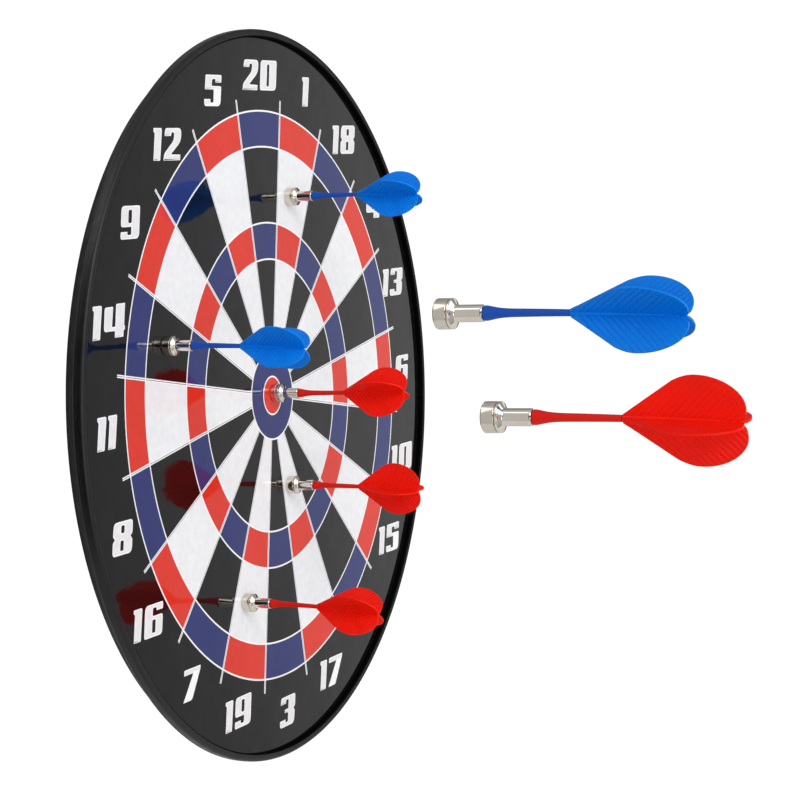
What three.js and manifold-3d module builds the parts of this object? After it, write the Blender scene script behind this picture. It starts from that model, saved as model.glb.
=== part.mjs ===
// A magnetic dartboard with seven magnet-tipped darts, as a three.js scene graph.
//
// Millimetres, +Z up, +X to the right of somebody who faces the target. The board hangs on a wall:
// the plane Y = 0 is the wall, and the target looks along -Y. The origin is the centre of the
// board's flat back. "Depth" below is the distance in front of the wall, so Y = -depth.
//
// The board is a shallow moulded dish (rear_housing) holding a core board, a steel sheet that the
// magnets stick to and a printed film, closed by a bezel ring. Five darts stick to the target and
// two are in the air in front of it, to its left.

import * as THREE from 'three';
import { mergeVertices } from 'three/addons/utils/BufferGeometryUtils.js';
import Module from 'manifold-3d';

const manifold = await Module();
manifold.setup();

// ---- driving dimensions ----------------------------------------------------------------------

const GAP = 0.3;                    // clearance between neighbouring pieces
const RING_RADIUS = 168.5;          // outer edge of the double ring, the scale of the whole target
const BOARD_RADIUS = 1.282 * RING_RADIUS;

const FACE_DEPTH = 13.2;            // front of the printed film
const BEZEL_STAND = 3.1;            // how far the bezel stands in front of the film
const BEZEL_WIDTH = 4.8;            // radial width of the bezel's front
const BACK_RADIUS = 206.9;          // the dish narrows towards the wall
const WALL = 2.2;                   // dish side wall
const FLOOR = 2.4;                  // dish floor
const FLOOR_CORNER = 1;             // how far the wall's foot stands in on the dish floor
const LIP_HEIGHT = 1.2;             // straight band at the dish's front edge
const EDGE_ROUND = 1.4;             // rounding of the outer edges
const INNER_ROUND = 0.8;            // rounding of the bezel's inner edge
const CORE_MARGIN = 2.3;            // free space round the core board

const FILM_THICKNESS = 0.4;
const STEEL_THICKNESS = 0.5;

const HANGER_HEIGHT = 150;          // centre of the keyhole's round hole above the board's centre
const HANGER = { width: 56, height: 36, thickness: 1, depth: 1.3, corner: 5, rise: 3 };
const KEYHOLE = { headRadius: 5.4, slotHalf: 2.6, slotLength: 12 };
const CORE_WINDOW = { halfWidth: 8, below: 8, above: 18 };   // about the keyhole's round hole

const SCREW_COUNT = 6;
const SCREW_CIRCLE = 178;
const SCREW = {
  headRadius: 3.4, headHeight: 1.3, headRound: 0.5, shankRadius: 1.5, point: 2, length: 8, inset: 0.4,
};
const HANGER_SCREW = { headHeight: 0.8, length: 7, inset: 0.2, fromEdge: 9 };

const DART_LENGTH = 86;
const FLIGHT_START = 46.2;          // behind the magnet's front
const MAGNET = { radius: 5.4, length: 4.6, round: 0.4 };
const BARREL = {
  shoulder: 0.8, cone: 1, neckRadius: 3.25, radius: 3.05, length: 9.7, bore: 1.9, boreDepth: 7.5,
};
const SHAFT = { spigotRadius: 1.6, flareRadius: 2.7, flare: 7, waistRadius: 1.65, tailRadius: 1.15 };
const FLIGHT = { halfSpan: 15.4, vane: 0.9, coreRadius: 1.7, tailCore: 0.9, socketDepth: 8 };
const SOCKET_PIN_RADIUS = 0.8;
const END_CLEARANCE = 0.7;          // between a pin's tip and the bottom of its socket

// The vane's notch at the tail, and the end of the core before it, in shares of the flight's length.
const NOTCH = 0.965;
const CORE_END = 0.93;

// Where each dart is: its place on the target in ring radii, how far its magnet is from the film,
// how far its soft tail sags, and the angle that its vanes are turned by.
const DARTS = [
  { colour: 'blue', across: 0.191, up: 0.695, away: 0, sag: 1.2, roll: 32 },
  { colour: 'blue', across: -0.725, up: 0.234, away: 0, sag: 2.6, roll: 51.5 },
  { colour: 'red', across: 0.012, up: 0.007, away: 0, sag: -0.9, roll: 27 },
  { colour: 'red', across: 0.096, up: -0.331, away: 0, sag: 2.3, roll: -4.5 },
  { colour: 'red', across: -0.271, up: -0.693, away: 0, sag: 4, roll: 41 },
  { colour: 'blue', across: -3.278, up: 0.483, away: 353.8, sag: 1.9, roll: 38.5 },
  { colour: 'red', across: -3.364, up: 0.292, away: 375.2, sag: 1.7, roll: -10.5 },
];

const DISC_SEGMENTS = 72;
const DART_SEGMENTS = 16;
const SMALL_SEGMENTS = 12;

// ---- worked-out depths -----------------------------------------------------------------------

const FILM_BACK = FACE_DEPTH - FILM_THICKNESS;
const STEEL_FRONT = FILM_BACK - GAP;
const STEEL_BACK = STEEL_FRONT - STEEL_THICKNESS;
const CORE_FRONT = STEEL_BACK - GAP;
const CORE_BACK = FLOOR + GAP;
const BEZEL_FRONT = FACE_DEPTH + BEZEL_STAND;
const HOUSING_FRONT = FACE_DEPTH - 1;
const FILM_RADIUS = BOARD_RADIUS - BEZEL_WIDTH + 1;
const DISH_OPENING = FILM_RADIUS + 2 * GAP;
const HOUSING_LIP_RADIUS = BOARD_RADIUS - 1;
const HEAD_LENGTH = MAGNET.length + GAP + BARREL.shoulder + BARREL.cone + BARREL.length;
const FLIGHT_LENGTH = DART_LENGTH - FLIGHT_START;

// ---- materials -------------------------------------------------------------------------------

const finish = (color, roughness, metalness) =>
  () => new THREE.MeshStandardMaterial({ color, roughness, metalness });

const blackPlastic = finish(0x1c1c1d, 0.55, 0);
const printedFilm = finish(0x303031, 0.12, 0);
const tinnedSteel = finish(0xb4b6b8, 0.35, 1);
const fibreboard = finish(0x9a7650, 0.9, 0);
const zincSteel = finish(0xc3c4c0, 0.3, 1);
const nickel = finish(0xc8c3b9, 0.15, 1);
const shaftPlastic = { blue: finish(0x1c4ea5, 0.4, 0), red: finish(0xc81e14, 0.4, 0) };
const flightPlastic = { blue: finish(0x0069d7, 0.45, 0), red: finish(0xe8190a, 0.45, 0) };

// ---- geometry helpers ------------------------------------------------------------------------

// A turned piece about the Y axis; each profile point is [radius, depth], and depth runs along -Y.
function turned(profile, segments) {
  const points = profile.map(([radius, depth]) => new THREE.Vector2(radius, -depth));
  return new THREE.LatheGeometry(points, segments);
}

// A plain disc or cylinder between two depths.
function disc(radius, back, front, segments) {
  return turned([[0, front], [radius, front], [radius, back], [0, back]], segments);
}

// A box from two opposite corners, given as across, depth and up.
function block(across, depth, up) {
  const size = [across, depth, up].map(([low, high]) => high - low);
  const geometry = new THREE.BoxGeometry(...size);
  const middle = [across, depth, up].map(([low, high]) => (low + high) / 2);
  return geometry.translate(middle[0], -middle[1], middle[2]);
}

// A flat outline drawn in across and up, given a thickness between two depths.
function plate(shape, back, front, curveSegments) {
  const settings = { depth: front - back, bevelEnabled: false, curveSegments };
  const geometry = new THREE.ExtrudeGeometry(shape, settings);
  return geometry.rotateX(Math.PI / 2).translate(0, -back, 0);
}

function toSolid(geometry) {
  const bare = geometry.clone();
  bare.deleteAttribute('normal');
  bare.deleteAttribute('uv');
  const merged = mergeVertices(bare, 1e-4);
  const vertProperties = new Float32Array(merged.attributes.position.array);
  const triVerts = new Uint32Array(merged.index.array);
  return new manifold.Manifold(new manifold.Mesh({ numProp: 3, vertProperties, triVerts }));
}

function toGeometry(solid) {
  const mesh = solid.getMesh();
  const geometry = new THREE.BufferGeometry();
  geometry.setAttribute('position', new THREE.BufferAttribute(new Float32Array(mesh.vertProperties), 3));
  geometry.setIndex(new THREE.BufferAttribute(new Uint32Array(mesh.triVerts), 1));
  geometry.computeVertexNormals();
  return geometry;
}

function cut(geometry, ...tools) {
  const solid = tools.reduce((left, tool) => left.subtract(toSolid(tool)), toSolid(geometry));
  return toGeometry(solid);
}

function named(name, geometry, material) {
  const mesh = new THREE.Mesh(geometry, material);
  mesh.name = name;
  return mesh;
}

// ---- the board -------------------------------------------------------------------------------

// Screw places on their circle, the first one straight to the right.
function screwPlaces() {
  const step = (2 * Math.PI) / SCREW_COUNT;
  const angles = Array.from({ length: SCREW_COUNT }, (_, index) => index * step);
  return angles.map((angle) => [SCREW_CIRCLE * Math.cos(angle), SCREW_CIRCLE * Math.sin(angle)]);
}

function hangerScrewPlaces() {
  const offset = HANGER.width / 2 - HANGER_SCREW.fromEdge;
  return [[-offset, HANGER_HEIGHT + HANGER.rise], [offset, HANGER_HEIGHT + HANGER.rise]];
}

function at(geometry, [across, up]) {
  return geometry.translate(across, 0, up);
}

function rearHousing() {
  const dish = turned([
    [0, FLOOR],
    [BACK_RADIUS - WALL - FLOOR_CORNER, FLOOR],
    [DISH_OPENING, HOUSING_FRONT],
    [HOUSING_LIP_RADIUS, HOUSING_FRONT],
    [HOUSING_LIP_RADIUS, HOUSING_FRONT - LIP_HEIGHT],
    [BACK_RADIUS, EDGE_ROUND],
    [BACK_RADIUS - EDGE_ROUND / 3, EDGE_ROUND / 3],
    [BACK_RADIUS - EDGE_ROUND, 0],
    [0, 0],
  ], DISC_SEGMENTS);
  const clear = SCREW.headRadius + GAP;
  const holes = screwPlaces().map((place) => at(disc(clear, -1, FLOOR + 1, SMALL_SEGMENTS), place));
  const half = HANGER.width / 2 + GAP;
  const middle = HANGER_HEIGHT + HANGER.rise;
  const rise = HANGER.height / 2 + GAP;
  const window = block([-half, half], [-1, FLOOR + 1], [middle - rise, middle + rise]);
  return cut(dish, window, ...holes);
}

function frontBezel() {
  const inner = BOARD_RADIUS - BEZEL_WIDTH;
  const underside = FACE_DEPTH + GAP;
  const seat = HOUSING_FRONT + GAP;
  return turned([
    [inner, underside],
    [inner, BEZEL_FRONT - INNER_ROUND],
    [inner + INNER_ROUND, BEZEL_FRONT],
    [BOARD_RADIUS - EDGE_ROUND, BEZEL_FRONT],
    [BOARD_RADIUS - EDGE_ROUND / 3, BEZEL_FRONT - EDGE_ROUND / 3],
    [BOARD_RADIUS, BEZEL_FRONT - EDGE_ROUND],
    [BOARD_RADIUS, seat],
    [FILM_RADIUS + GAP, seat],
    [FILM_RADIUS + GAP, underside],
    [inner, underside],
  ], DISC_SEGMENTS);
}

function coreBoard() {
  const backRadius = BACK_RADIUS - WALL - CORE_MARGIN;
  const frontRadius = FILM_RADIUS - CORE_MARGIN;
  const profile = [[0, CORE_FRONT], [frontRadius, CORE_FRONT], [backRadius, CORE_BACK], [0, CORE_BACK]];
  const tip = SCREW.inset + SCREW.length + GAP;
  const bore = SCREW.shankRadius + GAP;
  const holes = [...screwPlaces(), ...hangerScrewPlaces()];
  const pilots = holes.map((place) => at(disc(bore, FLOOR - 1, tip, SMALL_SEGMENTS), place));
  const { halfWidth, below, above } = CORE_WINDOW;
  const rise = [HANGER_HEIGHT - below, HANGER_HEIGHT + above];
  const window = block([-halfWidth, halfWidth], [CORE_BACK - 1, CORE_FRONT + 1], rise);
  return cut(turned(profile, DISC_SEGMENTS), window, ...pilots);
}

// A round hole with a slot above it: the screw's head enters the hole, and the shank takes the slot.
function keyholePath() {
  const { headRadius, slotHalf, slotLength } = KEYHOLE;
  const meet = Math.asin(slotHalf / headRadius);
  const hole = new THREE.Path();
  hole.absarc(0, HANGER_HEIGHT, headRadius, Math.PI / 2 + meet, Math.PI / 2 - meet + 2 * Math.PI, false);
  hole.absarc(0, HANGER_HEIGHT + slotLength, slotHalf, 0, Math.PI, false);
  hole.closePath();
  return hole;
}

function hangerPlate() {
  const { width, height, thickness, depth, corner, rise } = HANGER;
  const right = width / 2;
  const top = HANGER_HEIGHT + rise + height / 2;
  const bottom = top - height;
  const shape = new THREE.Shape();
  shape.absarc(right - corner, bottom + corner, corner, -Math.PI / 2, 0, false);
  shape.absarc(right - corner, top - corner, corner, 0, Math.PI / 2, false);
  shape.absarc(corner - right, top - corner, corner, Math.PI / 2, Math.PI, false);
  shape.absarc(corner - right, bottom + corner, corner, Math.PI, 1.5 * Math.PI, false);
  shape.closePath();
  shape.holes.push(keyholePath());
  hangerScrewPlaces().forEach(([across, up]) => {
    const hole = new THREE.Path();
    hole.absarc(across, up, SCREW.shankRadius + GAP, 0, 2 * Math.PI, true);
    shape.holes.push(hole);
  });
  return plate(shape, depth, depth + thickness, 8);
}

// A pan-head screw that points away from the wall; its head's flat top is nearest to the wall.
function screw({ inset, headHeight, length }) {
  const { headRadius, headRound, shankRadius, point } = SCREW;
  const neck = inset + headHeight;
  const end = inset + length;
  return turned([
    [0, end],
    [shankRadius * 0.4, end],
    [shankRadius, end - point],
    [shankRadius, neck],
    [headRadius, neck],
    [headRadius, inset + headRound],
    [headRadius - headRound, inset],
    [0, inset],
  ], SMALL_SEGMENTS);
}

function screws(places, prefix, size) {
  return places.map((place, index) =>
    named(`${prefix}_${index + 1}`, at(screw(size), place), zincSteel()));
}

function board() {
  const group = new THREE.Group();
  const film = disc(FILM_RADIUS, FILM_BACK, FACE_DEPTH, DISC_SEGMENTS);
  const sheet = disc(FILM_RADIUS, STEEL_BACK, STEEL_FRONT, DISC_SEGMENTS);
  group.add(
    named('rear_housing', rearHousing(), blackPlastic()),
    named('front_bezel', frontBezel(), blackPlastic()),
    named('face_print', film, printedFilm()),
    named('steel_sheet', sheet, tinnedSteel()),
    named('core_board', coreBoard(), fibreboard()),
    named('hanger_plate', hangerPlate(), zincSteel()),
    ...screws(screwPlaces(), 'housing_screw', SCREW),
    ...screws(hangerScrewPlaces(), 'hanger_screw', HANGER_SCREW),
  );
  return group;
}

// ---- a dart ----------------------------------------------------------------------------------
//
// A dart is built along -Y with its magnet's front at depth 0.

function magnet() {
  const { radius, length, round } = MAGNET;
  const profile = [[0, length], [radius, length], [radius, round], [radius - round, 0], [0, 0]];
  return turned(profile, DART_SEGMENTS);
}

// The barrel: a shoulder as wide as the magnet, a cone, and a plain tube with a blind bore.
function barrel() {
  const front = MAGNET.length + GAP;
  const coneStart = front + BARREL.shoulder;
  const coneEnd = coneStart + BARREL.cone;
  const boreEnd = HEAD_LENGTH - BARREL.boreDepth;
  const chamfer = 0.3;
  return turned([
    [0, boreEnd],
    [BARREL.bore, boreEnd],
    [BARREL.bore, HEAD_LENGTH],
    [BARREL.radius - chamfer, HEAD_LENGTH],
    [BARREL.radius, HEAD_LENGTH - chamfer],
    [BARREL.radius, coneEnd + chamfer],
    [BARREL.neckRadius, coneEnd],
    [MAGNET.radius, coneStart],
    [MAGNET.radius, front],
    [0, front],
  ], DART_SEGMENTS);
}

// The shaft: a spigot in the barrel's bore, a flared stem, and a pin in the flight's socket.
function shaft() {
  const spigotTip = HEAD_LENGTH - BARREL.boreDepth + END_CLEARANCE;
  const stemStart = HEAD_LENGTH + GAP;
  const stemEnd = FLIGHT_START - GAP;
  const pinTip = FLIGHT_START + FLIGHT.socketDepth - END_CLEARANCE;
  const chamfer = 0.3;
  return turned([
    [0, pinTip],
    [SOCKET_PIN_RADIUS, pinTip],
    [SOCKET_PIN_RADIUS, stemEnd],
    [SHAFT.tailRadius, stemEnd],
    [(SHAFT.waistRadius + SHAFT.tailRadius) / 2, (stemStart + SHAFT.flare + stemEnd) / 2],
    [SHAFT.waistRadius, stemStart + SHAFT.flare],
    [SHAFT.flareRadius, stemStart + 2 * chamfer],
    [SHAFT.flareRadius - chamfer, stemStart],
    [SHAFT.spigotRadius, stemStart],
    [SHAFT.spigotRadius, spigotTip],
    [0, spigotTip],
  ], SMALL_SEGMENTS);
}

// Half of the heart-shaped vane, drawn in shares of the flight's length and of its half span.
function halfVane(side) {
  const place = (along, out) => [along * FLIGHT_LENGTH, side * out * FLIGHT.halfSpan];
  const shape = new THREE.Shape();
  shape.moveTo(...place(0, 0));
  shape.lineTo(...place(0, 0.09));
  shape.lineTo(...place(0.42, 0.86));
  shape.bezierCurveTo(...place(0.51, 0.98), ...place(0.56, 1), ...place(0.615, 1));
  shape.bezierCurveTo(...place(0.815, 1), ...place(1, 0.68), ...place(1, 0.31));
  shape.quadraticCurveTo(...place(1, 0.1), ...place(NOTCH, 0.03));
  shape.lineTo(...place(NOTCH, 0));
  shape.closePath();
  return shape;
}

// Two opposite vanes as one flat plate that holds the dart's axis.
function vanePair(angle) {
  const settings = { depth: FLIGHT.vane, bevelEnabled: false, curveSegments: 4 };
  const halves = [1, -1].map((side) => toSolid(new THREE.ExtrudeGeometry(halfVane(side), settings)));
  return toGeometry(halves[0].add(halves[1]))
    .translate(FLIGHT_START, 0, -FLIGHT.vane / 2)
    .rotateZ(-Math.PI / 2)
    .rotateY(angle);
}

// Four vanes on a thin core, whose front end is the socket for the shaft's pin.
function flight(roll) {
  const tail = FLIGHT_START + CORE_END * FLIGHT_LENGTH;
  const socketEnd = FLIGHT_START + FLIGHT.socketDepth;
  const core = turned([
    [0, tail],
    [FLIGHT.tailCore, tail],
    [FLIGHT.coreRadius, socketEnd + 1],
    [FLIGHT.coreRadius, FLIGHT_START],
    [0, FLIGHT_START],
  ], SMALL_SEGMENTS);
  const socket = disc(SOCKET_PIN_RADIUS + GAP, FLIGHT_START - 1, socketEnd, SMALL_SEGMENTS);
  const turn = THREE.MathUtils.degToRad(roll);
  const solid = toSolid(core)
    .add(toSolid(vanePair(turn)))
    .add(toSolid(vanePair(turn + Math.PI / 2)))
    .subtract(toSolid(socket));
  return toGeometry(solid);
}

// Soft plastic droops behind the stiff head: the drop grows with the square of the distance. A
// negative sag is a shaft that has taken a slight upward set.
function sagged(geometry, sag) {
  const place = geometry.attributes.position;
  const soft = DART_LENGTH - HEAD_LENGTH;
  for (let index = 0; index < place.count; index += 1) {
    const behind = Math.max(0, -place.getY(index) - HEAD_LENGTH);
    place.setZ(index, place.getZ(index) - sag * (behind / soft) ** 2);
  }
  geometry.computeVertexNormals();
  return geometry;
}

function dart({ colour, across, up, away, sag, roll }, index) {
  const prefix = `dart_${index + 1}`;
  const group = new THREE.Group();
  group.add(
    named(`${prefix}_magnet`, magnet(), nickel()),
    named(`${prefix}_barrel`, barrel(), nickel()),
    named(`${prefix}_shaft`, sagged(shaft(), sag), shaftPlastic[colour]()),
    named(`${prefix}_flight`, sagged(flight(roll), sag), flightPlastic[colour]()),
  );
  group.position.set(across * RING_RADIUS, -(FACE_DEPTH + GAP + away), up * RING_RADIUS);
  return group;
}

// ---- the whole object ------------------------------------------------------------------------

const dartboard = new THREE.Group();
dartboard.add(board(), ...DARTS.map(dart));

export default dartboard;
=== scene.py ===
"""A magnetic dartboard with seven darts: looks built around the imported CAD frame.

Metres, row frame: +Z up, +X right of somebody who faces the target, and the target faces -Y.
"""
from math import asin, cos, pi, radians, sin, tan

import bmesh
import bpy
from mathutils import Matrix, Vector


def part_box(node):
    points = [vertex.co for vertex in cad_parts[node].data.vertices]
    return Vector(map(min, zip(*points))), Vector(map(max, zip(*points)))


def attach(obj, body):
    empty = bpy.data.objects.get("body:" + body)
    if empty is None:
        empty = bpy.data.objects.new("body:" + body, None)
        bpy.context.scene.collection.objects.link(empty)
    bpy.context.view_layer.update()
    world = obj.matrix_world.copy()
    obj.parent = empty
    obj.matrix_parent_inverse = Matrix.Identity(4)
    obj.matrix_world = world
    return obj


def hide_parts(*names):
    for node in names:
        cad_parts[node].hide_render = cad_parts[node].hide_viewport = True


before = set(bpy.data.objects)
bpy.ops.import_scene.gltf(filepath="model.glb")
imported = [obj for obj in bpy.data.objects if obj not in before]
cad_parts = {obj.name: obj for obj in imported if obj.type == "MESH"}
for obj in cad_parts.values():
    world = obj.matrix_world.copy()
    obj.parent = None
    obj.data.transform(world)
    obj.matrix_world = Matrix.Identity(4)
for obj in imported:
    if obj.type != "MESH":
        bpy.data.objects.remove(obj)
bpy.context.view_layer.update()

MM = 0.001

# ---- measures that come from the frame -----------------------------------------------------------

film_low, film_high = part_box("face_print")
bezel_low, bezel_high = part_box("front_bezel")
housing_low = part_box("rear_housing")[0]
plate_low, plate_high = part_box("hanger_plate")

BOARD_RADIUS = bezel_high.x
BOARD_IN_RINGS = 1.282                 # the board's radius in double-ring radii
RING = BOARD_RADIUS / BOARD_IN_RINGS   # outer edge of the double ring
FACE_DEPTH = -film_low.y
FILM_RADIUS = film_high.x
BEZEL_FRONT = -bezel_low.y
HOUSING_FRONT = -housing_low.y
HOUSING_LIP = BOARD_RADIUS - 0.1 * MM  # flush with the bezel
LIP_BAND = 1.6 * MM                    # depth of the straight band behind the lip

# ---- the target's print, in double-ring radii ----------------------------------------------------

INNER_BULL = 0.067
OUTER_BULL = 0.155
TRIPLE = (0.481, 0.609)
DOUBLE = (0.875, 1.0)
SPOKE_END = 1.049
RING_LINE_HALF = 0.0030                # half the width of a white circle
SPOKE_HALF = 0.0052                    # half the width of a white spoke
HAIR_HALF = 0.0011                     # half of the dark hair down its middle
SECTORS = 20
ARC_STEPS = 10                         # steps of a circle's arc within a sector

# Clockwise from the top: a number, how far it stands past its sector's middle in degrees, and the
# radius of its centre.
NUMBERS = (
    (20, 1.0, 1.124), (1, 1.0, 1.132), (18, 0.7, 1.118), (4, 0.3, 1.112), (13, 0.0, 1.104),
    (6, 0.15, 1.098), (10, 0.2, 1.121), (15, -0.6, 1.121), (2, 0.0, 1.117), (17, -0.8, 1.125),
    (3, -0.1, 1.133), (19, 0.7, 1.120), (7, 0.7, 1.117), (16, 1.3, 1.124), (8, -0.2, 1.110),
    (11, -0.4, 1.112), (14, -0.4, 1.117), (9, -0.7, 1.111), (12, -0.1, 1.098), (5, 1.1, 1.114),
)
NUMBER_HEIGHT = 0.1075
NUMBER_SLANT = 0.17
NUMBER_GAP = 0.14                      # between two digits, in digit heights

# ---- darts ---------------------------------------------------------------------------------------

# Colour, how far the soft tail sags in millimetres, and the turn of the vanes in degrees.
DARTS = {
    "dart_1": ("blue", 1.2, 32.0),
    "dart_2": ("blue", 2.6, 51.5),
    "dart_3": ("red", -0.9, 27.0),
    "dart_4": ("red", 2.3, -4.5),
    "dart_5": ("red", 4.0, 41.0),
    "dart_6": ("blue", 1.9, 38.5),
    "dart_7": ("red", 1.7, -10.5),
}
LOOSE_DARTS = ("dart_6", "dart_7")
LOOSE_WIDTH = 0.95                     # of the width of a dart on the target


# ---- mesh helpers --------------------------------------------------------------------------------

LARGEST_SHARE = 0.49                   # of a side that one rounded corner may take
WELD = 1e-7
ON_AXIS = 1e-9                         # a radius below this is a point on the axis
SHARP = 35                             # degrees between two faces that meet in a sharp edge
CUT_SHARP = 30


def link(name, data):
    """A new object in the scene."""
    thing = bpy.data.objects.new(name, data)
    bpy.context.scene.collection.objects.link(thing)
    return thing


def rounded(corners, steps=5, closed=True):
    """Corner points (x, y, size) as a polyline; a corner's curve starts size before it."""
    points = []
    count = len(corners)
    for index, (x, y, size) in enumerate(corners):
        here = Vector((x, y))
        if size <= 0 or (not closed and index in (0, count - 1)):
            points.append((x, y))
            continue
        before = Vector(corners[index - 1][:2]) - here
        after = Vector(corners[(index + 1) % count][:2]) - here
        reach = min(size, before.length * LARGEST_SHARE, after.length * LARGEST_SHARE)
        start = here + before.normalized() * reach
        end = here + after.normalized() * reach
        for step in range(steps + 1):
            t = step / steps
            point = start * (1 - t) ** 2 + here * 2 * t * (1 - t) + end * t * t
            points.append((point.x, point.y))
    return points


def solid(name, vertices, faces, materials, sharp=SHARP):
    """A mesh object whose faces all point out."""
    mesh = bpy.data.meshes.new(name)
    mesh.from_pydata(vertices, [], faces)
    work = bmesh.new()
    work.from_mesh(mesh)
    bmesh.ops.remove_doubles(work, verts=work.verts, dist=WELD)
    bmesh.ops.recalc_face_normals(work, faces=work.faces)
    work.to_mesh(mesh)
    work.free()
    for material in materials:
        mesh.materials.append(material)
    mesh.shade_smooth()
    mesh.set_sharp_from_angle(angle=radians(sharp))
    return link(name, mesh)


def lathe(profile, segments, closed=False):
    """Vertices and faces of (radius, depth) points turned about the Y axis; depth runs along -Y."""
    vertices, faces, rows = [], [], []
    for radius, depth in profile:
        if radius < ON_AXIS:
            rows.append([len(vertices)] * segments)
            vertices.append((0, -depth, 0))
            continue
        rows.append(list(range(len(vertices), len(vertices) + segments)))
        for index in range(segments):
            turn = 2 * pi * (index + 0.5) / segments
            vertices.append((radius * cos(turn), -depth, radius * sin(turn)))
    pairs = list(zip(rows, rows[1:]))
    if closed:
        pairs.append((rows[-1], rows[0]))
    for low, high in pairs:
        for index in range(segments):
            beside = (index + 1) % segments
            corners = [low[index], low[beside], high[beside], high[index]]
            faces.append(list(dict.fromkeys(corners)))
    return vertices, [face for face in faces if len(face) > 2]


def turned(name, profile, materials, segments, closed=False):
    """A mesh object turned about the Y axis."""
    vertices, faces = lathe(profile, segments, closed)
    return solid(name, vertices, faces, materials)


def cut_away(piece, tools):
    """Cuts the tool meshes out of piece and removes them."""
    for tool in tools:
        modifier = piece.modifiers.new("cut", "BOOLEAN")
        modifier.operation = "DIFFERENCE"
        modifier.solver = "EXACT"
        modifier.object = tool
    bpy.context.view_layer.update()
    shape = piece.evaluated_get(bpy.context.evaluated_depsgraph_get())
    piece.data = bpy.data.meshes.new_from_object(shape)
    piece.modifiers.clear()
    piece.data.set_sharp_from_angle(angle=radians(CUT_SHARP))
    for tool in tools:
        bpy.data.objects.remove(tool)


def box_tool(low, high):
    """A block to cut with, between two corners."""
    work = bmesh.new()
    bmesh.ops.create_cube(work, size=1)
    size = Vector(high) - Vector(low)
    middle = (Vector(high) + Vector(low)) / 2
    fit = Matrix.Translation(middle) @ Matrix.Diagonal((*size, 1))
    bmesh.ops.transform(work, matrix=fit, verts=work.verts)
    mesh = bpy.data.meshes.new("tool")
    work.to_mesh(mesh)
    work.free()
    return link("tool", mesh)


def round_tool(radius, low_depth, high_depth, place):
    """A cylinder along Y to cut with."""
    profile = [(0, low_depth), (radius, low_depth), (radius, high_depth), (0, high_depth)]
    tool = turned("tool", profile, [], 40)
    tool.data.transform(Matrix.Translation(place))
    return tool


# ---- materials -----------------------------------------------------------------------------------

NOISE_SPAN = (0.3, 0.7)                # where nearly all of a noise's values lie


class Paint:
    """A Principled material with helpers for its procedural detail."""

    def __init__(self, name, colour, roughness, metallic=0.0, ior=1.5):
        self.material = bpy.data.materials.new(name)
        self.material.use_nodes = True
        self.tree = self.material.node_tree
        self.shader = self.tree.nodes["Principled BSDF"]
        self.set("Base Color", (*colour, 1))
        self.set("Roughness", roughness)
        self.set("Metallic", metallic)
        self.set("IOR", ior)
        self.coordinates = self.tree.nodes.new("ShaderNodeTexCoord").outputs["Object"]
        self.normal = None

    def set(self, socket, value):
        self.shader.inputs[socket].default_value = value

    def link(self, source, target):
        self.tree.links.new(source, target)

    def stretched(self, scale):
        mapping = self.tree.nodes.new("ShaderNodeMapping")
        mapping.inputs["Scale"].default_value = scale
        self.link(self.coordinates, mapping.inputs["Vector"])
        return mapping.outputs["Vector"]

    def noise(self, scale, detail, stretch=(1, 1, 1)):
        """Noise with that many lumps to a metre."""
        node = self.tree.nodes.new("ShaderNodeTexNoise")
        node.inputs["Scale"].default_value = scale
        node.inputs["Detail"].default_value = detail
        self.link(self.stretched(stretch), node.inputs["Vector"])
        return node.outputs["Fac"]

    def ranged(self, value, low, high):
        """The noise's usual span, spread from low to high."""
        node = self.tree.nodes.new("ShaderNodeMapRange")
        node.inputs["From Min"].default_value = NOISE_SPAN[0]
        node.inputs["From Max"].default_value = NOISE_SPAN[1]
        node.inputs["To Min"].default_value = low
        node.inputs["To Max"].default_value = high
        self.link(value, node.inputs["Value"])
        return node.outputs["Result"]

    def mottled(self, value, dark, light):
        """The base colour wanders between two colours."""
        node = self.tree.nodes.new("ShaderNodeMix")
        node.data_type = "RGBA"
        self.link(self.ranged(value, 0, 1), node.inputs["Factor"])
        node.inputs["A"].default_value = (*dark, 1)
        node.inputs["B"].default_value = (*light, 1)
        self.link(node.outputs["Result"], self.shader.inputs["Base Color"])

    def rough(self, value, low, high):
        self.link(self.ranged(value, low, high), self.shader.inputs["Roughness"])

    def bump(self, value, height):
        """Relief of that height in metres, on top of any relief set before."""
        node = self.tree.nodes.new("ShaderNodeBump")
        node.inputs["Distance"].default_value = height
        node.inputs["Strength"].default_value = 1.0
        self.link(value, node.inputs["Height"])
        if self.normal is not None:
            self.link(self.normal, node.inputs["Normal"])
        self.normal = node.outputs["Normal"]
        self.link(self.normal, self.shader.inputs["Normal"])


def shade(colour, factor):
    """A colour made darker or lighter."""
    return tuple(channel * factor for channel in colour)


def film_paint(name, colour):
    """Printed colour under a glossy laminate, whose skin is very slightly wavy."""
    paint = Paint(name, colour, 0.04, ior=1.45)
    paint.mottled(paint.noise(260, 4), shade(colour, 0.96), shade(colour, 1.04))
    paint.rough(paint.noise(40, 2), 0.03, 0.07)
    paint.bump(paint.noise(26, 2, (1, 1, 1.6)), 0.22 * MM)
    paint.bump(paint.noise(420, 2), 0.016 * MM)
    return paint.material


def moulded_paint(name, colour, grain, roughness, shine):
    """Injection-moulded plastic with a fine spark-eroded grain."""
    paint = Paint(name, colour, roughness)
    paint.mottled(paint.noise(45, 3), shade(colour, 0.85), shade(colour, 1.2))
    paint.rough(paint.noise(120, 4), roughness - 0.06, roughness + 0.08)
    paint.bump(paint.noise(grain, 3), 0.03 * MM)
    paint.set("Specular IOR Level", shine)
    return paint.material


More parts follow.
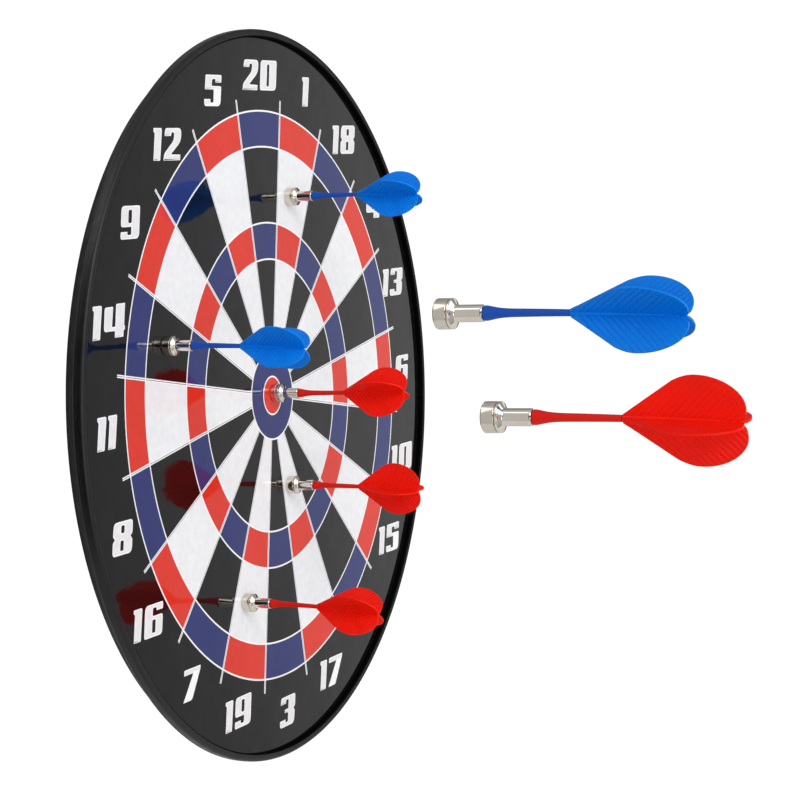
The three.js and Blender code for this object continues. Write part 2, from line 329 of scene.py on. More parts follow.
def soft_paint(name, colour, glow, through):
    """Soft dyed plastic, a little translucent."""
    paint = Paint(name, colour, 0.4, ior=1.46)
    paint.mottled(paint.noise(60, 3), shade(colour, 0.93), shade(colour, 1.05))
    paint.rough(paint.noise(150, 3), 0.38, 0.52)
    paint.set("Specular IOR Level", 0.15)
    paint.set("Subsurface Weight", through)
    paint.set("Subsurface Radius", glow)
    paint.set("Subsurface Scale", 1.5 * MM)
    paint.bump(paint.noise(700, 3), 0.02 * MM)
    return paint.material


def plated_paint(name, colour, roughness, lines):
    """Plated metal with faint turning marks round the dart's axis."""
    paint = Paint(name, colour, roughness, metallic=1.0)
    paint.mottled(paint.noise(90, 3), shade(colour, 0.95), shade(colour, 1.03))
    paint.rough(paint.noise(240, 3), roughness - 0.03, roughness + 0.05)
    paint.bump(paint.noise(lines, 2, (0.02, 1, 0.02)), 0.004 * MM)
    return paint.material


def sheet_paint(name, colour, roughness, grain):
    """Rolled or plated sheet steel with a directional grain."""
    paint = Paint(name, colour, roughness, metallic=1.0)
    paint.mottled(paint.noise(35, 4), shade(colour, 0.9), shade(colour, 1.05))
    paint.rough(paint.noise(60, 4), roughness - 0.05, roughness + 0.1)
    paint.bump(paint.noise(grain, 3, (0.04, 1, 1)), 0.008 * MM)
    return paint.material


def fibre_paint(name, colour):
    """Raw fibreboard: fine short fibres, darker specks."""
    paint = Paint(name, colour, 0.9)
    paint.mottled(paint.noise(420, 6, (1, 0.4, 1)), shade(colour, 0.72), shade(colour, 1.15))
    paint.bump(paint.noise(520, 5), 0.06 * MM)
    return paint.material


FILM = {
    "black": film_paint("film_black", (0.004, 0.004, 0.0042)),
    "white": film_paint("film_white", (0.835, 0.84, 0.86)),
    "red": film_paint("film_red", (0.70, 0.033, 0.017)),
    "blue": film_paint("film_blue", (0.024, 0.032, 0.150)),
    "line": film_paint("film_line", (0.92, 0.92, 0.94)),
    "hair": film_paint("film_hair", (0.12, 0.12, 0.13)),
    "numeral": film_paint("film_numeral", (0.80, 0.78, 0.79)),
}
FILM_ORDER = list(FILM)
HOUSING_BLACK = moulded_paint("housing_black", (0.005, 0.005, 0.0052), 1500, 0.46, 0.06)
BEZEL_BLACK = moulded_paint("bezel_black", (0.003, 0.003, 0.0031), 1900, 0.34, 0.36)
# Darker and duller than the rest of the bezel: painted shade for the dark line where the bezel
# meets the film.
BEZEL_PAINTED_SHADE = moulded_paint("bezel_painted_shade", (0.001, 0.001, 0.001), 1900, 0.6, 0.03)
MAGNET_NICKEL = plated_paint("magnet_nickel", (0.71, 0.65, 0.57), 0.17, 900)
BARREL_NICKEL = plated_paint("barrel_nickel", (0.78, 0.725, 0.64), 0.1, 2600)
ZINC = sheet_paint("zinc_plate", (0.62, 0.62, 0.60), 0.28, 900)
TIN = sheet_paint("tinned_steel", (0.55, 0.56, 0.57), 0.35, 300)
FIBRE = fibre_paint("fibreboard", (0.42, 0.29, 0.17))
SHAFT_PAINT = {
    "blue": soft_paint("shaft_blue", (0.012, 0.080, 0.42), (0.1, 0.3, 1.0), 0.1),
    "red": soft_paint("shaft_red", (0.66, 0.012, 0.006), (1.0, 0.2, 0.1), 0.1),
}
FLIGHT_PAINT = {
    "blue": soft_paint("flight_blue", (0.0, 0.195, 0.74), (0.1, 0.4, 1.0), 0.06),
    "red": soft_paint("flight_red", (0.86, 0.010, 0.002), (1.0, 0.2, 0.1), 0.06),
}


# ---- the printed film ----------------------------------------------------------------------------

def ring_zones():
    """Zones from the centre out: (outer radius, kind)."""
    zones = []
    stops = [
        (INNER_BULL, "inner_bull"), (OUTER_BULL, "outer_bull"), (TRIPLE[0], "field"),
        (TRIPLE[1], "ring"), (DOUBLE[0], "field"), (DOUBLE[1], "ring"),
    ]
    for radius, kind in stops:
        zones.append((radius - RING_LINE_HALF, kind))
        zones.append((radius + RING_LINE_HALF, "line"))
    zones.append((SPOKE_END, "spokes"))
    zones.append((FILM_RADIUS / RING, "border"))
    return zones


def zone_colour(kind, sector, column):
    """The print's colour in a zone; column is field, line or hair across a spoke."""
    plain = {"line": "line", "inner_bull": "red", "outer_bull": "blue", "border": "black"}
    if kind in plain:
        return plain[kind]
    if column in ("hair", "line"):
        return column
    if kind == "spokes":
        return "black"
    dark = sector % 2 == 0
    if kind == "ring":
        return "blue" if dark else "red"
    return "black" if dark else "white"


def columns_at(radius):
    """Angles round a circle, clockwise from the top, as (angle, sector, what lies after it)."""
    pitch = 2 * pi / SECTORS
    edge = asin(SPOKE_HALF / radius)
    hair = asin(HAIR_HALF / radius)
    columns = []
    for sector in range(SECTORS):
        start = (sector - 0.5) * pitch
        columns.append((start - edge, sector, "line"))
        columns.append((start - hair, sector, "hair"))
        columns.append((start + hair, sector, "line"))
        inside = pitch - 2 * edge
        for step in range(ARC_STEPS):
            columns.append((start + edge + inside * step / ARC_STEPS, sector, "field"))
    return columns


def target_film():
    """The film as one closed sheet whose front faces carry the print."""
    zones = ring_zones()
    vertices = [(0, -FACE_DEPTH, 0)]
    faces, colours, rows = [], [], []
    for radius, _ in zones:
        columns = columns_at(radius)
        rows.append(range(len(vertices), len(vertices) + len(columns)))
        for angle, _, _ in columns:
            across, up = radius * RING * sin(angle), radius * RING * cos(angle)
            vertices.append((across, -FACE_DEPTH, up))
    layout = columns_at(1)
    count = len(layout)
    for index in range(count):
        faces.append((0, rows[0][index], rows[0][(index + 1) % count]))
        colours.append("red")
    for (inner, outer), (_, kind) in zip(zip(rows, rows[1:]), zones[1:]):
        for index, (_, sector, column) in enumerate(layout):
            beside = (index + 1) % count
            faces.append((inner[index], outer[index], outer[beside], inner[beside]))
            colours.append(zone_colour(kind, sector, column))
    back = len(vertices)
    rim = rows[-1]
    thickness = film_high.y - film_low.y
    vertices += [(vertices[i][0], vertices[i][1] + thickness, vertices[i][2]) for i in rim]
    for index in range(count):
        beside = (index + 1) % count
        faces.append((rim[index], back + index, back + beside, rim[beside]))
        colours.append("white")
    faces.append(tuple(range(back, back + count)))
    colours.append("white")
    film = solid("printed_film", vertices, faces, [FILM[name] for name in FILM_ORDER])
    film.data.polygons.foreach_set("material_index", [FILM_ORDER.index(name) for name in colours])
    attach(film, "board")
    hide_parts("face_print")


# ---- numerals ------------------------------------------------------------------------------------
#
# Each digit is one or more outlines in digit heights, before the slant: (across, up, corner size).

def slot_outline(left, right, low, high):
    """An upright opening in a digit."""
    return [(x, y, 0.05) for x, y in ((left, low), (left, high), (right, high), (right, low))]


NINE_WIDTH = 1.08
NINE = [
    (0, 0.36, 0.12), (0, 1, 0.16), (NINE_WIDTH, 1, 0.1), (NINE_WIDTH, 0, 0.2), (0, 0, 0.1),
    (0, 0.24, 0.05), (0.4, 0.24, 0.03), (0.4, 0.14, 0.05), (0.6, 0.14, 0.05), (0.6, 0.36, 0.03),
]
NINE_EYE = slot_outline(0.43, 0.61, 0.49, 0.86)
DIGITS = {
    "0": [
        [(0, 0, 0.12), (0, 1, 0.16), (1.14, 1, 0.12), (1.14, 0, 0.2)],
        slot_outline(0.47, 0.62, 0.15, 0.85),
    ],
    "1": [[
        (0, 0, 0.03), (0.02, 0.84, 0.06), (-0.06, 0.88, 0.03), (-0.06, 1, 0.04), (0.46, 1, 0.1),
        (0.42, 0, 0.04),
    ]],
    "2": [[
        (0, 0, 0.03), (0.02, 0.22, 0.2), (0.58, 0.62, 0.12), (0.6, 0.85, 0.06), (0.44, 0.85, 0.05),
        (0.42, 0.74, 0.03), (0.02, 0.74, 0.04), (0.03, 1, 0.18), (1.04, 1, 0.2), (1.04, 0.58, 0.2),
        (0.46, 0.2, 0.06), (1.03, 0.19, 0.04), (1.02, 0, 0.03),
    ]],
    "3": [[
        (0, 0, 0.14), (-0.02, 0.25, 0.05), (0.4, 0.25, 0.03), (0.4, 0.15, 0.05), (0.56, 0.15, 0.05),
        (0.55, 0.45, 0.04), (0.31, 0.45, 0.03), (0.31, 0.58, 0.03), (0.56, 0.58, 0.04),
        (0.57, 0.87, 0.05), (0.4, 0.87, 0.05), (0.4, 0.75, 0.03), (0, 0.75, 0.04), (0.02, 1, 0.18),
        (1.06, 1, 0.12), (1.07, 0.58, 0.1), (0.95, 0.515, 0.03), (1.05, 0.45, 0.06), (1.03, 0, 0.2),
    ]],
    "4": [[
        (0, 0.93, 0.1), (0.49, 0.93, 0.05), (0.46, 0.34, 0.02), (0.63, 0.34, 0.02), (0.63, 1, 0.05),
        (1.15, 1, 0.05), (1.14, 0.34, 0.02), (1.19, 0.33, 0.02), (1.19, 0.2, 0.02),
        (1.12, 0.2, 0.02), (1.12, 0, 0.04), (0.62, 0, 0.04), (0.62, 0.2, 0.02), (0, 0.2, 0.14),
    ]],
    "5": [[
        (0, 0, 0.12), (-0.02, 0.24, 0.04), (0.4, 0.24, 0.03), (0.4, 0.13, 0.05), (0.58, 0.13, 0.05),
        (0.57, 0.52, 0.03), (0, 0.52, 0.04), (0.02, 1, 0.04), (1.07, 1, 0.08), (1.06, 0.74, 0.05),
        (0.665, 0.74, 0.03), (0.665, 0.85, 0.05), (0.46, 0.85, 0.05), (0.45, 0.65, 0.03),
        (1.07, 0.65, 0.1), (1.06, 0, 0.2),
    ]],
    "6": [
        [(NINE_WIDTH - x, 1 - y, size) for x, y, size in NINE],
        [(NINE_WIDTH - x, 1 - y, size) for x, y, size in NINE_EYE],
    ],
    "7": [[
        (0, 0, 0.04), (0.57, 0.81, 0.03), (0.0, 0.81, 0.05), (0.0, 1, 0.06), (1.05, 1, 0.06),
        (1.03, 0.87, 0.06), (0.57, 0, 0.1),
    ]],
    "8": [
        [
            (0, 0, 0.16), (0, 0.43, 0.1), (0.12, 0.5, 0.04), (0, 0.58, 0.1), (0.02, 1, 0.18),
            (1.12, 1, 0.16), (1.12, 0.58, 0.1), (1.0, 0.5, 0.04), (1.12, 0.43, 0.1), (1.12, 0, 0.2),
        ],
        slot_outline(0.47, 0.64, 0.65, 0.86),
        slot_outline(0.45, 0.62, 0.14, 0.42),
    ],
    "9": [NINE, NINE_EYE],
}


def digit_width(digit):
    return max(x for x, _, _ in DIGITS[digit][0])


def number_outlines(text):
    """The rounded, slanted outlines of a whole number, centred, in digit heights."""
    width = sum(digit_width(digit) for digit in text) + NUMBER_GAP * (len(text) - 1)
    left = -(width + NUMBER_SLANT) / 2
    outlines = []
    for digit in text:
        for outline in DIGITS[digit]:
            points = rounded(outline, 4)
            outlines.append([(left + x + NUMBER_SLANT * y, y - 0.5) for x, y in points])
        left += digit_width(digit) + NUMBER_GAP
    return outlines


def ink(name, outlines, material, thickness, offset):
    """Flat ink shapes in the board's plane, as a thin closed mesh on the film.

    A negative offset draws every outline in by that much.
    """
    curve = bpy.data.curves.new(name, "CURVE")
    curve.dimensions = "2D"
    curve.fill_mode = "BOTH"
    curve.extrude = thickness / 2
    curve.offset = offset
    for outline in outlines:
        spline = curve.splines.new("POLY")
        spline.points.add(len(outline) - 1)
        for point, (x, y) in zip(spline.points, outline):
            point.co = (x, y, 0, 1)
        spline.use_cyclic_u = True
    shape = link(name, curve)
    bpy.context.view_layer.update()
    flat = shape.evaluated_get(bpy.context.evaluated_depsgraph_get()).to_mesh()
    depth = -FACE_DEPTH - thickness / 2
    vertices = [(vertex.co.x, depth - vertex.co.z, vertex.co.y) for vertex in flat.vertices]
    faces = [tuple(face.vertices) for face in flat.polygons]
    bpy.data.objects.remove(shape)
    piece = solid(name, vertices, faces, [material])
    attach(piece, "board")


def numerals():
    """The twenty numbers: a white outline layer and a slightly greyer fill on it."""
    height = NUMBER_HEIGHT * RING
    placed = []
    for index, (number, past, circle) in enumerate(NUMBERS):
        angle = 2 * pi * index / SECTORS + radians(past)
        across = circle * RING * sin(angle)
        up = circle * RING * cos(angle)
        for outline in number_outlines(str(number)):
            placed.append([(across + x * height, up + y * height) for x, y in outline])
    ink("numeral_outlines", placed, FILM["line"], 0.03 * MM, -0.18 * MM)
    ink("numeral_fills", placed, FILM["numeral"], 0.05 * MM, -0.9 * MM)


# ---- the board's shell ---------------------------------------------------------------------------

BOARD_SEGMENTS = 288
BEZEL_WIDTH = 4.8 * MM
SEAM = 0.06 * MM                       # between the bezel and the dish, only a hairline
LIP_ROUNDING = 0.15 * MM
SCREW_RECESS = 3.7 * MM
HANGER_GAP = 0.3 * MM


def front_bezel():
    """The ring in front of the film; its inner edge is dull and darker, painted shade along the
    film's edge, the rest is polished.
    """
    inner = BOARD_RADIUS - BEZEL_WIDTH
    seat = HOUSING_FRONT + SEAM
    film_gap = 0.3 * MM
    under = FACE_DEPTH + film_gap
    rebate = FILM_RADIUS + film_gap
    shade_strip_radius = inner + 0.8 * MM
    profile = rounded([
        (inner, under, 0),
        (inner, BEZEL_FRONT, 2.4 * MM),
        (BOARD_RADIUS, BEZEL_FRONT, 1.6 * MM),
        (BOARD_RADIUS, seat, LIP_ROUNDING),
        (rebate, seat, 0),
        (rebate, under, 0),
    ], 6)
    bezel = turned("bezel_ring", profile, [BEZEL_BLACK, BEZEL_PAINTED_SHADE], BOARD_SEGMENTS, closed=True)
    # The bezel's inner strip takes the darker material: painted shade along the film's edge.
    for face in bezel.data.polygons:
        if face.center.xz.length < shade_strip_radius:
            face.material_index = 1
    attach(bezel, "board")
    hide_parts("front_bezel")


def housing_profile():
    """The dish in section: smooth bulged side, flat back with two shallow moulded grooves."""
    back_radius = 206.9 * MM
    floor_depth = 2.4 * MM
    groove = 0.5 * MM
    inside = [
        (0, floor_depth, 0),
        (back_radius - 3.2 * MM, floor_depth, 0),
        (FILM_RADIUS + 0.7 * MM, HOUSING_FRONT, 0),
        (HOUSING_LIP, HOUSING_FRONT, LIP_ROUNDING),
        (HOUSING_LIP, HOUSING_FRONT - LIP_BAND, 1.4 * MM),
        (back_radius + 3.4 * MM, 4.6 * MM, 6 * MM),
        (back_radius, 0, 2.2 * MM),
    ]
    back = []
    for radius in (196 * MM, 92 * MM):
        back += [
            (radius, 0, 0.3 * MM),
            (radius - 0.8 * MM, groove, 0.3 * MM),
            (radius - 3.2 * MM, groove, 0.3 * MM),
            (radius - 4.0 * MM, 0, 0.3 * MM),
        ]
    return rounded(inside + back + [(0, 0, 0)], 5, closed=False)


def rear_housing():
    """The dish, cut for the screws and the hanger plate, with a lip as polished as the bezel."""
    materials = [HOUSING_BLACK, BEZEL_BLACK]
    housing = turned("housing_shell", housing_profile(), materials, BOARD_SEGMENTS)
    outside, inside = 1 * MM, 4 * MM   # how far a cut runs past the back's two faces
    tools = []
    for index in range(1, 7):
        low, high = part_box(f"housing_screw_{index}")
        middle = (low + high) / 2
        tools.append(round_tool(SCREW_RECESS, -outside, inside, (middle.x, 0, middle.z)))
    low = (plate_low.x - HANGER_GAP, -inside, plate_low.z - HANGER_GAP)
    high = (plate_high.x + HANGER_GAP, outside, plate_high.z + HANGER_GAP)
    tools.append(box_tool(low, high))
    cut_away(housing, tools)
    polished = HOUSING_FRONT - LIP_BAND - 0.9 * MM
    for face in housing.data.polygons:
        if face.center.xz.length > FILM_RADIUS and -face.center.y > polished:
            face.material_index = 1
    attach(housing, "board")
    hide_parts("rear_housing")


def cross_screw(node):
    """A pan-head screw with a cross recess in the head that faces the wall."""
    low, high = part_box(node)
    middle = (low + high) / 2
    top = -high.y
    tip = -low.y
    head = (high.x - low.x) / 2
    shank = 1.5 * MM
    head_height = 1.3 * MM if node.startswith("housing") else 0.8 * MM
    neck = top + head_height
    profile = rounded([
        (0, top, 0),
        (head, top, 0.55 * MM),
        (head, neck, 0.15 * MM),
        (shank, neck, 0),
    ], 4, closed=False)
    pitch = 0.9 * MM
    turns = int((tip - neck - 1.8 * MM) / pitch)        # the rest is the point
    for index in range(turns):
        start = neck + index * pitch
        profile += [
            (shank * 0.78, start + 0.3 * pitch),
            (shank, start + 0.75 * pitch),
            (shank, start + 0.85 * pitch),
        ]
    profile += [(shank * 0.7, tip - 1.0 * MM), (shank * 0.3, tip), (0, tip)]
    screw = turned(node + "_cross_head", profile, [ZINC], 32)
    screw.data.transform(Matrix.Translation((middle.x, 0, middle.z)))
    arm = head * 0.62
    half = 0.45 * MM
    deep = top + head_height * 0.7
    tools = []
    for wide, tall in ((arm, half), (half, arm)):
        low_corner = (middle.x - wide, -deep, middle.z - tall)
        high_corner = (middle.x + wide, -top + 1 * MM, middle.z + tall)
        tools.append(box_tool(low_corner, high_corner))
    cut_away(screw, tools)
    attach(screw, "board")
    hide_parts(node)


# ---- a dart --------------------------------------------------------------------------------------
#
# Built about the origin along -Y, with the magnet's front at depth 0, and put where the frame says.

DART_LENGTH = 86 * MM
FLIGHT_START = 46.2 * MM
FLIGHT_LENGTH = DART_LENGTH - FLIGHT_START
HEAD_LENGTH = 16.4 * MM
MAGNET_RADIUS = 5.4 * MM
MAGNET_LENGTH = 4.6 * MM
HALF_SPAN = 15.4 * MM
NOTCH = 0.965                          # of the flight's length
RIB_ANGLE = radians(46.7)
RIBS = 16
RIB_CREST = 0.62                       # where a rib's crest is, in shares of its pitch
RIB_HEIGHT = 0.48 * MM
RIB_FADE = (0.12, 0.05)                # the shares of a rib over which it fades: core, edge
LAST_RIB = 0.955                       # of the flight's length
PARALLEL = 1e-12
VANE_FOOT = 0.3 * MM                   # from the axis, inside the core
HEAD_SEGMENTS = 72
BORE = 1.95 * MM                       # radius of the barrel's bore for the shaft
SPIGOT = 1.6 * MM                      # radius of the shaft inside it
PIN = 0.8 * MM                         # radius of the shaft inside the flight
PIN_BORE = 1.1 * MM
TOUCH = 0.27 * MM                      # from a stuck magnet's CAD face to the film


def sag_by(vertices, sag):
    """The soft plastic's droop: it grows with the square of the distance behind the stiff head."""
    soft = DART_LENGTH - HEAD_LENGTH
    moved = []
    for x, y, z in vertices:
        behind = max(0.0, -y - HEAD_LENGTH) / soft
        moved.append((x, y, z - sag * behind * behind))
    return moved


def slim(dart, vertices):
    """The two loose darts are a little slimmer than the ones on the target."""
    share = LOOSE_WIDTH if dart in LOOSE_DARTS else 1.0
    return [(x * share, y, z * share) for x, y, z in vertices]


PIECE_NAMES = {"magnet": "disc", "barrel": "turned", "shaft": "stem", "flight": "feathers"}


def dart_piece(dart, part, material, vertices, faces, sharp=SHARP):
    """Makes one part of a dart, puts it at the dart's place, and lets it stand for its CAD node."""
    node = f"{dart}_{part}"
    low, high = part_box(f"{dart}_magnet")
    piece = solid(f"{node}_{PIECE_NAMES[part]}", slim(dart, vertices), faces, [material], sharp)
    piece.location = ((low.x + high.x) / 2, high.y, (low.z + high.z) / 2)
    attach(piece, dart)
    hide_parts(node)
    return piece


def magnet(dart):
    """A nickel-plated disc, which meets the film on the darts that are on the target."""
    touch = 0 if dart in LOOSE_DARTS else -TOUCH
    profile = rounded([
        (0, touch, 0),
        (MAGNET_RADIUS, touch, 0.6 * MM),
        (MAGNET_RADIUS, MAGNET_LENGTH, 0.25 * MM),
        (MAGNET_RADIUS - 0.5 * MM, MAGNET_LENGTH + 0.05 * MM, 0),
        (MAGNET_RADIUS - 0.5 * MM, MAGNET_LENGTH + 0.25 * MM, 0),
        (0, MAGNET_LENGTH + 0.25 * MM, 0),
    ], 5, closed=False)
    vertices, faces = lathe(profile, HEAD_SEGMENTS)
    dart_piece(dart, "magnet", MAGNET_NICKEL, vertices, faces)


def barrel(dart):
    """Turned nickel: a shoulder behind the magnet, a cone, and a bore at the back."""
    bore_depth = 7.5 * MM
    front = MAGNET_LENGTH + 0.3 * MM
    profile = rounded([
        (0, front, 0),
        (MAGNET_RADIUS, front, 0.2 * MM),
        (MAGNET_RADIUS, front + 0.8 * MM, 0.25 * MM),
        (3.3 * MM, front + 1.8 * MM, 0.3 * MM),
        (3.05 * MM, front + 2.1 * MM, 0.2 * MM),
        (3.05 * MM, HEAD_LENGTH - 0.5 * MM, 0.2 * MM),
        (2.8 * MM, HEAD_LENGTH, 0.15 * MM),
        (2.4 * MM, HEAD_LENGTH, 0.1 * MM),
        (BORE, HEAD_LENGTH - 0.5 * MM, 0.1 * MM),
        (BORE, HEAD_LENGTH - bore_depth, 0),
        (0, HEAD_LENGTH - bore_depth, 0),
    ], 4, closed=False)
    vertices, faces = lathe(profile, HEAD_SEGMENTS)
    dart_piece(dart, "barrel", BARREL_NICKEL, vertices, faces)


def finely(profile, step):
    """The profile with extra points, so that a long straight run can bend."""
    dense = []
    for (r0, d0), (r1, d1) in zip(profile, profile[1:]):
        steps = max(1, int(abs(d1 - d0) / step))
        dense += [(r0 + (r1 - r0) * i / steps, d0 + (d1 - d0) * i / steps) for i in range(steps)]
    return dense + [profile[-1]]


def shaft(dart, colour, sag):
    """A spigot in the barrel, a flared stem, and a pin in the flight."""
    spigot = HEAD_LENGTH - 6.8 * MM
    start = HEAD_LENGTH + 0.1 * MM
    end = FLIGHT_START - 0.15 * MM
    pin = FLIGHT_START + 7.3 * MM
    profile = [(0, spigot), (SPIGOT, spigot), (SPIGOT, start)]
    profile += rounded([
        (SPIGOT, start, 0),
        (2.6 * MM, start, 0.3 * MM),
        (2.65 * MM, start + 1.2 * MM, 0.8 * MM),
        (1.8 * MM, start + 5 * MM, 3 * MM),
        (1.5 * MM, start + 9 * MM, 3 * MM),
        (1.2 * MM, end, 0),
        (PIN, end, 0),
    ], 6, closed=False)
    profile += [(PIN, pin), (0, pin)]
    vertices, faces = lathe(finely(profile, 3 * MM), 32)
    piece = dart_piece(dart, "shaft", SHAFT_PAINT[colour], sag_by(vertices, sag), faces)


def bezier(p0, p1, p2, p3, steps):
    """Points of a cubic curve after its first."""
    points = []
    for index in range(1, steps + 1):
        t = index / steps
        weights = ((1 - t) ** 3, 3 * t * (1 - t) ** 2, 3 * t * t * (1 - t), t ** 3)
        pairs = list(zip(weights, (p0, p1, p2, p3)))
        points.append(tuple(sum(w * p[axis] for w, p in pairs) for axis in (0, 1)))
    return points


def vane_outline():
    """The heart-shaped edge of a vane, from its tip to the notch: (along, out) in metres."""
    bend, crest, lobe = (0.42, 0.86), (0.615, 1.0), (1.0, 0.31)
    outline = [(0, 0.09), bend]
    outline += bezier(bend, (0.51, 0.98), (0.56, 1.0), crest, 8)
    outline += bezier(crest, (0.815, 1.0), (1.0, 0.68), lobe, 16)
    outline += bezier(lobe, (1.0, 0.17), (0.988, 0.077), (NOTCH, 0.03), 6)
    return [(along * FLIGHT_LENGTH, out * HALF_SPAN) for along, out in outline]


def reach_along_rib(outline, start):
    """How far a rib that leaves the core at start runs before it meets the vane's edge."""
    across, out = cos(RIB_ANGLE), sin(RIB_ANGLE)
    best = 0.05 * MM
    for (x0, y0), (x1, y1) in zip(outline, outline[1:]):
        dx, dy = x1 - x0, y1 - y0
        cross = across * dy - out * dx
        if abs(cross) < PARALLEL:
            continue
        distance = ((x0 - start) * dy - y0 * dx) / cross
        along = ((x0 - start) * out - y0 * across) / cross
        if 0 <= along <= 1:
            best = max(best, distance)
    return best


def rib_relief(start, share):
    """The height of the moulded ribs: a long rise and a steep fall, fading at both ends."""
    at_core, at_edge = RIB_FADE
    phase = (start / FLIGHT_LENGTH * RIBS) % 1.0
    ridge = phase / RIB_CREST if phase < RIB_CREST else (1 - phase) / (1 - RIB_CREST)
    fade = min(1.0, share / at_core) * min(1.0, (1 - share) / at_edge)
    return RIB_HEIGHT * (ridge - 0.5) * fade


def vane(angle):
    """One vane as a thin closed plate whose columns follow its ribs."""
    outline = vane_outline()
    columns, rows = RIBS * 8, 10
    first = -0.97 * outline[0][1] / tan(RIB_ANGLE)      # just inside the vane's blunt tip
    last = LAST_RIB * FLIGHT_LENGTH
    vertices, faces, grids = [], [], []
    for side in (1, -1):
        grid = []
        for column in range(columns + 1):
            start = first + (last - first) * column / columns
            near = max(VANE_FOOT / sin(RIB_ANGLE), -start / cos(RIB_ANGLE))
            length = reach_along_rib(outline, start)
            line = []
            for row in range(rows + 1):
                share = row / rows
                reach = near + (length - near) * share
                along = start + reach * cos(RIB_ANGLE)
                out = reach * sin(RIB_ANGLE)
                half = (0.5 - 0.15 * out / HALF_SPAN) * MM      # thinner towards the edge
                thick = side * (half + rib_relief(start, share))
                line.append(len(vertices))
                vertices.append((thick, -FLIGHT_START - along, out))
            grid.append(line)
        grids.append(grid)
    front, rear = grids
    for grid in grids:
        for column in range(columns):
            for row in range(rows):
                faces.append((grid[column][row], grid[column + 1][row],
                              grid[column + 1][row + 1], grid[column][row + 1]))
    border = [(c, rows) for c in range(columns + 1)]
    border += [(columns, r) for r in range(rows - 1, -1, -1)]
    border += [(c, 0) for c in range(columns - 1, -1, -1)]
    border += [(0, r) for r in range(1, rows)]
    for (c0, r0), (c1, r1) in zip(border, border[1:] + border[:1]):
        faces.append((front[c0][r0], front[c1][r1], rear[c1][r1], rear[c0][r0]))
    turn = Matrix.Rotation(angle, 4, "Y")
    return [tuple(turn @ Vector(v)) for v in vertices], faces


def flight(dart, colour, sag, roll):
    """A socketed core with four ribbed vanes."""
    tail = FLIGHT_START + NOTCH * FLIGHT_LENGTH
    socket = FLIGHT_START + 8 * MM
    core = rounded([
        (0, socket, 0),
        (PIN_BORE, socket, 0),
        (PIN_BORE, FLIGHT_START, 0.1 * MM),
        (1.3 * MM, FLIGHT_START, 0.2 * MM),
        (1.4 * MM, FLIGHT_START + 4 * MM, 2 * MM),
        (1.25 * MM, FLIGHT_START + 16 * MM, 4 * MM),
        (0.75 * MM, tail, 0.4 * MM),
        (0, tail, 0),
    ], 5, closed=False)
    vertices, faces = lathe(finely(core, 4 * MM), 24)
    for quarter in range(4):
        more, plates = vane(radians(roll + 90 * quarter))
        base = len(vertices)
        vertices += more
        faces += [tuple(base + index for index in face) for face in plates]
    vertices = sag_by(vertices, sag)
    piece = dart_piece(dart, "flight", FLIGHT_PAINT[colour], vertices, faces, sharp=50)


# ---- stage ---------------------------------------------------------------------------------------

def camera():
    """A long lens from the left of the board, a little above its middle."""
    lens = bpy.data.cameras.new("camera")
    lens.sensor_width = 36
    lens.lens = 109.3
    lens.clip_start = 0.05
    turn, down, roll = radians(65.156), radians(5.256), radians(-2.454)
    eye = link("camera", lens)
    eye.location = (-1.2753, -0.6871, 0.1265)
    aim = Matrix.Rotation(-turn, 4, "Z") @ Matrix.Rotation(pi / 2 - down, 4, "X")
    aim = aim @ Matrix.Rotation(roll, 4, "Z")
    eye.rotation_euler = aim.to_euler()
    bpy.context.scene.camera = eye


def sky():
    """White behind the object; a soft studio round it, brighter on the camera's side.

    The film mirrors the bright patch beyond the board's right, as its gloss in the photo does.
    """
    world = bpy.data.worlds.new("studio")
    bpy.context.scene.world = world
    world.use_nodes = True
    tree = world.node_tree
    tree.nodes.clear()
    output = tree.nodes.new("ShaderNodeOutputWorld")
    seen = tree.nodes.new("ShaderNodeBackground")
    seen.inputs["Color"].default_value = (1, 1, 1, 1)
    seen.inputs["Strength"].default_value = 1.05
    studio = tree.nodes.new("ShaderNodeBackground")
    direction = tree.nodes.new("ShaderNodeTexCoord")

    def glow(towards, start, end, low, high):
        """Light that rises from low to high as a direction turns towards the given one."""
        along = tree.nodes.new("ShaderNodeVectorMath")
        along.operation = "DOT_PRODUCT"
        along.inputs[1].default_value = Vector(towards).normalized()
        tree.links.new(direction.outputs["Generated"], along.inputs[0])
        ramp = tree.nodes.new("ShaderNodeMapRange")
        ramp.interpolation_type = "SMOOTHSTEP"
        ramp.inputs["From Min"].default_value = start
        ramp.inputs["From Max"].default_value = end
        ramp.inputs["To Min"].default_value = low
        ramp.inputs["To Max"].default_value = high
        tree.links.new(along.outputs["Value"], ramp.inputs["Value"])
        return ramp.outputs["Result"]

    total = tree.nodes.new("ShaderNodeMath")
    tree.links.new(glow((-0.85, -0.35, 0.35), -0.75, 0.6, 0.37, 0.76), total.inputs[0])
    tree.links.new(glow((1, 0, -0.05), 0.83, 0.96, 0.0, 0.72), total.inputs[1])
    tree.links.new(total.outputs["Value"], studio.inputs["Strength"])
    path = tree.nodes.new("ShaderNodeLightPath")
    mix = tree.nodes.new("ShaderNodeMixShader")
    tree.links.new(path.outputs["Is Camera Ray"], mix.inputs["Fac"])
    tree.links.new(studio.outputs["Background"], mix.inputs[1])
    tree.links.new(seen.outputs["Background"], mix.inputs[2])
    tree.links.new(mix.outputs["Shader"], output.inputs["Surface"])


def softbox(name, place, aim, size, power):
    """A rectangular light aimed at a point."""
    light = bpy.data.lights.new(name, "AREA")
    light.shape = "RECTANGLE"
    light.size, light.size_y = size
    light.energy = power
    lamp = link(name, light)
    lamp.location = place
    lamp.rotation_euler = (Vector(aim) - Vector(place)).to_track_quat("-Z", "Y").to_euler()


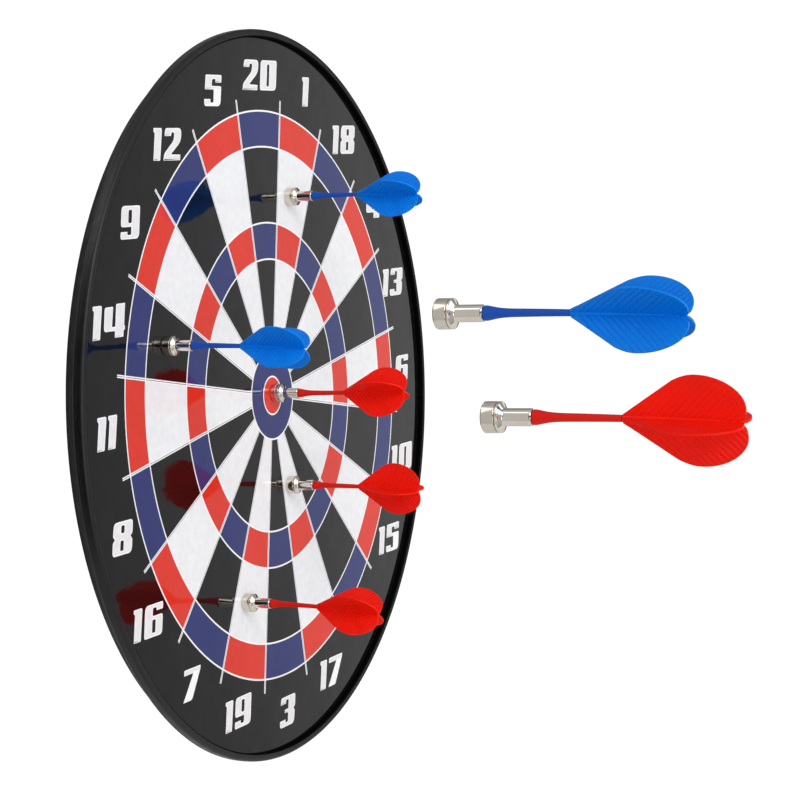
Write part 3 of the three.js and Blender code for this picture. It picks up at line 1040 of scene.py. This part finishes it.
def flag(name, place, facing, half_wide, half_high):
    """A dark card that the camera doesn't see, whose flat side looks along facing."""
    paint = Paint(name + "_cloth", (0.01, 0.01, 0.01), 0.95)
    paint.mottled(paint.noise(40, 2), (0.008, 0.008, 0.008), (0.012, 0.012, 0.012))
    front = Vector(facing).normalized()
    aside = front.cross(Vector((0, 0, 1))).normalized()
    rise = aside.cross(front)
    corners = []
    for across, up in ((-1, -1), (1, -1), (1, 1), (-1, 1)):
        corners.append(Vector(place) + across * half_wide * aside + up * half_high * rise)
    mesh = bpy.data.meshes.new(name)
    mesh.from_pydata(corners, [], [(0, 1, 2, 3)])
    mesh.materials.append(paint.material)
    card = link(name, mesh)
    card.visible_camera = False
    return card


def floor():
    """A pale disc below the board."""
    paint = Paint("floor_pale", (0.8, 0.8, 0.8), 0.9, ior=1.2)
    paint.mottled(paint.noise(3, 2), (0.78, 0.78, 0.78), (0.82, 0.82, 0.82))
    reach, height, sides = 1.3, -0.62, 96
    turns = [2 * pi * index / sides for index in range(sides)]
    corners = [(reach * cos(turn), reach * sin(turn), height) for turn in turns]
    mesh = bpy.data.meshes.new("floor")
    mesh.from_pydata(corners, [], [tuple(range(sides))])
    mesh.materials.append(paint.material)
    link("floor", mesh)


# ---- everything ----------------------------------------------------------------------------------

camera()
sky()
softbox("key", (-3.0, -4.0, 3.6), (-0.1, 0, 0), (3.2, 3.2), 148)
softbox("low_fill", (-3.0, -3.0, -0.4), (-0.1, 0, 0), (2.0, 1.6), 37)
softbox("fill", (0.6, -2.4, 0.6), (0, 0, 0), (1.4, 1.8), 13)
softbox("back_light", (-1.43, 1.09, 1.87), (-0.1, 0, 0), (1.5, 1.5), 9)
# Three cards are only in reflections: on the board's side, on the nickel and on the bezel's edge.
for dark_card in (
    flag("side_flag", (-0.86, 0.36, 0.1), (0.9, -0.42, 0), 0.26, 0.7),
    flag("room_flag", (-1.6, -0.78, 0.15), (0.9, 0.42, 0), 0.4, 0.5),
    flag("rim_flag", (1.0, -0.13, 0.1), (-1, 0, 0), 0.23, 0.6),
):
    dark_card.visible_shadow = False
    dark_card.visible_diffuse = False
# The last one only shades the loose darts.
shade_card = flag("loose_dart_flag", (-0.735, -0.665, 0.455), (0.35, 0.51, -0.78), 0.13, 0.12)
shade_card.visible_glossy = False
floor()

target_film()
numerals()
front_bezel()
rear_housing()
for screw_node in [name for name in sorted(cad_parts) if "_screw_" in name]:
    cross_screw(screw_node)

# These three keep their CAD meshes.
for cad_node, material in (("steel_sheet", TIN), ("core_board", FIBRE), ("hanger_plate", ZINC)):
    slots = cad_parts[cad_node].data.materials
    slots.clear()
    slots.append(material)

for dart_name, (dart_colour, dart_sag, dart_roll) in DARTS.items():
    magnet(dart_name)
    barrel(dart_name)
    shaft(dart_name, dart_colour, dart_sag * MM)
    flight(dart_name, dart_colour, dart_sag * MM, dart_roll)

bpy.context.scene.view_settings.view_transform = "Standard"
bpy.context.scene.view_settings.look = "None"
